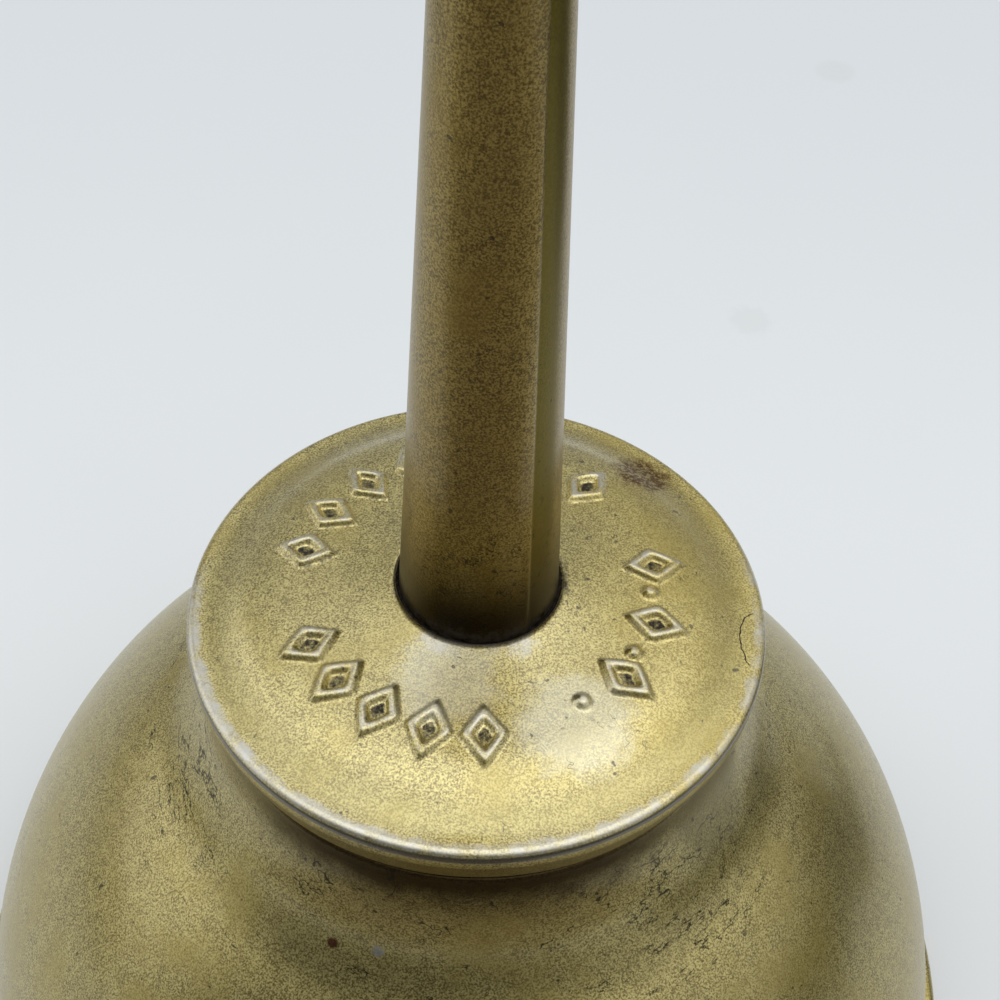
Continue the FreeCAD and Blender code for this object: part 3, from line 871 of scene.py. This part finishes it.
def make_spout():
    corners = [
        (FOOT_RADIUS - SPOUT_WALL, SPOUT_LOW.z, 0.1 * MM),
        (FOOT_RADIUS, SPOUT_LOW.z, 0.1 * MM),
        (TIP_RADIUS + 0.01 * MM, SPOUT_HIGH.z, 0.4 * MM),
        (TIP_BORE, SPOUT_HIGH.z, 0.15 * MM),
        (TIP_BORE, SPOUT_HIGH.z - 0.8 * MM, 0.15 * MM),
        (TIP_RADIUS - SPOUT_WALL, SPOUT_HIGH.z - 1.6 * MM, 0.1 * MM),
    ]
    spout = lathe("spout", subdivided(soft_outline(corners), 1.0 * MM), 256, rolled)
    radius, turn, height = polar(spout)
    # Painted shade at the spout's foot, next to the cap.
    foot_shade = smooth_step(height - BEAD_PLANE, 6.5 * MM, 3.0 * MM) * 0.62
    seam_off = np.abs(turned_from(turn, SEAM_ANGLE)) * radius
    seam_grime = smooth_step(seam_off, 0.20 * MM, 0.04 * MM) * 0.30
    paint_mask(spout, "grime_and_shade", np.maximum(foot_shade, seam_grime))
    tip_wear = smooth_step(height, SPOUT_HIGH.z - 5 * MM, SPOUT_HIGH.z - 0.5 * MM)
    seam_wear = smooth_step(seam_off, 0.35 * MM, 0.1 * MM) * 0.15
    paint_mask(spout, "wear_and_highlight", np.maximum(tip_wear, seam_wear))
    dress(spout, spout_lacquer(), "spout_assembly", "spout_tube")


def make_grime_ring():
    """Crusted oil and dust packed round the spout where it leaves the cap."""
    middle = (HOLE_RADIUS - 0.12 * MM, BEAD_PLANE + 2.90 * MM)

    def crusted(radius, turn, height):
        x, y = np.cos(turn) * 5, np.sin(turn) * 5
        lumps = sampled(lambda p: noise.fractal(p, 0.7, 2.2, 5), x, y, height / MM)
        swell = 1 + 0.8 * lumps + 0.4 * smooth_step(np.cos(turn - DIRTY_SIDE), 0.7, 1.0)
        swell -= 0.5 * front_side(turn)
        out, up = radius - middle[0], height - middle[1]
        return middle[0] + out * swell, turn, middle[1] + up * swell

    ring = lathe("grime_ring", arc(middle, 0.16 * MM, 0, 330, 12), 420, crusted)
    ring.data.materials.append(packed_grime())
    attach(ring, "spout_assembly")


def make_bottom():
    """The springy disc with its stepped lands, between the can and the thumb plate."""
    edge = RIM_RADIUS - GAUGE
    top = BOTTOM_TOP
    gauge, drop = 0.4 * MM, 0.4 * MM
    upper = [(edge, GAUGE, 0.1 * MM), (edge, top, 0.3 * MM)]
    for ring in range(3):
        radius = (37.5 - 7.0 * ring) * MM
        upper.append((radius, top - ring * drop, 0.5 * MM))
        upper.append((radius - 1.0 * MM, top - (ring + 1) * drop, 0.5 * MM))
    lower = [(r, z - gauge, fillet) for r, z, fillet in reversed(upper[2:])]
    lower.append((edge - gauge, top - gauge, 0.15 * MM))
    lower.append((edge - gauge, GAUGE, 0.1 * MM))
    centre = [(0.0, top - 3 * drop, 0), (0.0, top - 3 * drop - gauge, 0)]
    outline = soft_outline(upper + centre + lower)
    disc = lathe("spring_disc", subdivided(outline, 1.0 * MM), 256)
    steel = turned_metal("spring_steel", (0.52, 0.51, 0.47), (0.27, 0.24, 0.19), 3.0, 0.30)
    disc.data.materials.append(steel)
    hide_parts("spring_bottom")
    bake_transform(disc)


def make_thumb_plate():
    """The slightly hollowed plate under the spring bottom, which a thumb pushes."""
    radius, low, high = THUMB_HIGH.x, THUMB_LOW.z, THUMB_HIGH.z
    dished = radius - 1.2 * MM
    dish = [(r, low + 0.3 * MM * (1 - (r / dished) ** 2), 0) for r in np.linspace(0, dished, 16)]
    edge = [(radius, low, 0.4 * MM), (radius, high, 0.15 * MM), (0.0, high, 0)]
    outline = subdivided(soft_outline(dish + edge), 1.0 * MM)
    plate = lathe("thumb_disc", outline, 192)
    metal = turned_metal("worn_steel", (0.58, 0.57, 0.54), (0.34, 0.31, 0.26), 2.0, 0.26)
    dress(plate, metal, "thumb", "thumb_plate")


def finish_kept_nodes():
    """Materials of the CAD pieces that are shown as they are."""
    brass = turned_metal("tarnished_brass", (0.62, 0.44, 0.16), (0.30, 0.20, 0.08), 4.0, 0.30)
    solder, leather = dull_solder(), oiled_leather()
    kept = {
        "neck_ring": brass, "cap_thread_ring": brass, "neck_solder": solder,
        "seam_solder": solder, "spout_solder": solder, "leather_washer": leather,
    }
    for name, material in kept.items():
        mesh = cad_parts[name].data
        mesh.materials.clear()
        mesh.materials.append(material)


# ---------------------------------------------------------------- stage

LENS = 57.6
PITCH_DOWN, ROLL = math.radians(46.95), math.radians(2.98)
CAMERA_FROM_BEAD = Vector((1.16, -70.65, 86.72)) * MM

# The sky's ranges: from and to of a direction's likeness to the side, then the strengths there.
GLOW_SIDE, GLOW = (0.06, -0.12, 0.990), (0.56, 0.97, 0.46, 2.05)
VIEWER_SIDE, VIEWER_SHADE = (-0.34, -0.935, 0.05), (0.32, 0.88, 1.0, 0.25)
WINDOWS = [
    ((-0.91, 0.06, 0.42), (0.80, 0.97, 0.0, 0.95)),
    ((0.66, 0.26, 0.70), (0.84, 0.98, 0.0, 0.35)),
    ((0.92, -0.16, 0.38), (0.86, 0.99, 0.0, 0.38)),
]
SKY_COLOUR = (0.97, 0.985, 1.0, 1)

# Sheets that only reflections see: width and depth, place, cloth, and the way they face.
UP, LEFT, RIGHT = (0, 0, 1), (-1, 0, 0), (1, 0, 0)
CLOTHS = {
    "grey_cloth": (0.22, 0.19, 0.15),
    "pale_cloth": (0.36, 0.33, 0.28),
    "dark_board": (0.03, 0.026, 0.02),
}
FLAGS = {
    "front_flag": ((0.34, 0.34), (-0.02, -0.22, 0.0002), "grey_cloth", UP),
    "right_flag": ((0.22, 0.056), (0.20, -0.01, 0.028), "dark_board", LEFT),
    "right_mat": ((0.08, 0.07), (0.150, 0.065, 0.0002), "dark_board", UP),
    "left_flag": ((0.36, 0.060), (-0.30, 0.13, 0.030), "pale_cloth", RIGHT),
}


def make_camera():
    data = bpy.data.cameras.new("camera")
    data.lens, data.sensor_width = LENS, 36.0
    data.clip_start, data.clip_end = 0.005, 20.0
    camera = bpy.data.objects.new("camera", data)
    bpy.context.scene.collection.objects.link(camera)
    tilt = Matrix.Rotation(math.pi / 2 - PITCH_DOWN, 4, "X")
    place = Matrix.Translation(Vector((0, 0, BEAD_PLANE)) + CAMERA_FROM_BEAD)
    camera.matrix_world = place @ tilt @ Matrix.Rotation(ROLL, 4, "Z")
    bpy.context.scene.camera = camera


def make_plane(name, size, place, material, facing=UP):
    """A flat sheet of the stage. One that faces up keeps the world's axes."""
    x, y = size[0] / 2, size[1] / 2
    mesh = bpy.data.meshes.new(name)
    mesh.from_pydata([(-x, -y, 0), (x, -y, 0), (x, y, 0), (-x, y, 0)], [], [(0, 1, 2, 3)])
    sheet = bpy.data.objects.new(name, mesh)
    if facing != UP:
        sheet.rotation_euler = Vector(facing).to_track_quat("Z", "Y").to_euler()
    sheet.location = place
    mesh.materials.append(material)
    bpy.context.scene.collection.objects.link(sheet)
    return sheet


def make_sky():
    """A pale room: a broad glow overhead, dimmer walls, darkest low down on the viewer's side."""
    world = bpy.data.worlds.new("room")
    world.use_nodes = True
    tree = world.node_tree
    shade = tree.nodes["Background"]

    def node(kind, *values, **settings):
        made = tree.nodes.new(kind)
        for key, value in settings.items():
            setattr(made, key, value)
        for socket, value in zip(made.inputs, values):
            if isinstance(value, bpy.types.NodeSocket):
                tree.links.new(value, socket)
            else:
                socket.default_value = value
        return made.outputs

    direction = node("ShaderNodeTexCoord")["Generated"]
    above = node("ShaderNodeVectorMath", direction, GLOW_SIDE, operation="DOT_PRODUCT")["Value"]
    glow = node("ShaderNodeMapRange", above, *GLOW, interpolation_type="SMOOTHSTEP")[0]
    viewer = node("ShaderNodeVectorMath", direction, VIEWER_SIDE, operation="DOT_PRODUCT")["Value"]
    dim = node("ShaderNodeMapRange", viewer, *VIEWER_SHADE, interpolation_type="SMOOTHSTEP")[0]
    for side, reach in WINDOWS:
        toward = node("ShaderNodeVectorMath", direction, side, operation="DOT_PRODUCT")["Value"]
        window = node("ShaderNodeMapRange", toward, *reach, interpolation_type="SMOOTHSTEP")[0]
        glow = node("ShaderNodeMath", glow, window, operation="ADD")[0]
    strength = node("ShaderNodeMath", glow, dim, operation="MULTIPLY")[0]
    tree.links.new(strength, shade.inputs["Strength"])
    shade.inputs["Color"].default_value = SKY_COLOUR
    bpy.context.scene.world = world


def make_stage():
    make_plane("floor", (6.0, 6.0), (0, 0, -0.0002), table_top())
    cloths = {}
    for name, tone in CLOTHS.items():
        cloths[name] = Finish(name).surface(Base_Color=tone, Roughness=0.9)
    for name, (size, place, cloth, facing) in FLAGS.items():
        flag = make_plane(name, size, place, cloths[cloth], facing)
        flag.visible_camera = flag.visible_diffuse = flag.visible_shadow = False
    make_sky()
    bpy.context.scene.view_settings.view_transform = "Standard"


make_camera()
make_can()
make_cap()
make_spout()
make_grime_ring()
make_bottom()
make_thumb_plate()
finish_kept_nodes()
make_stage()
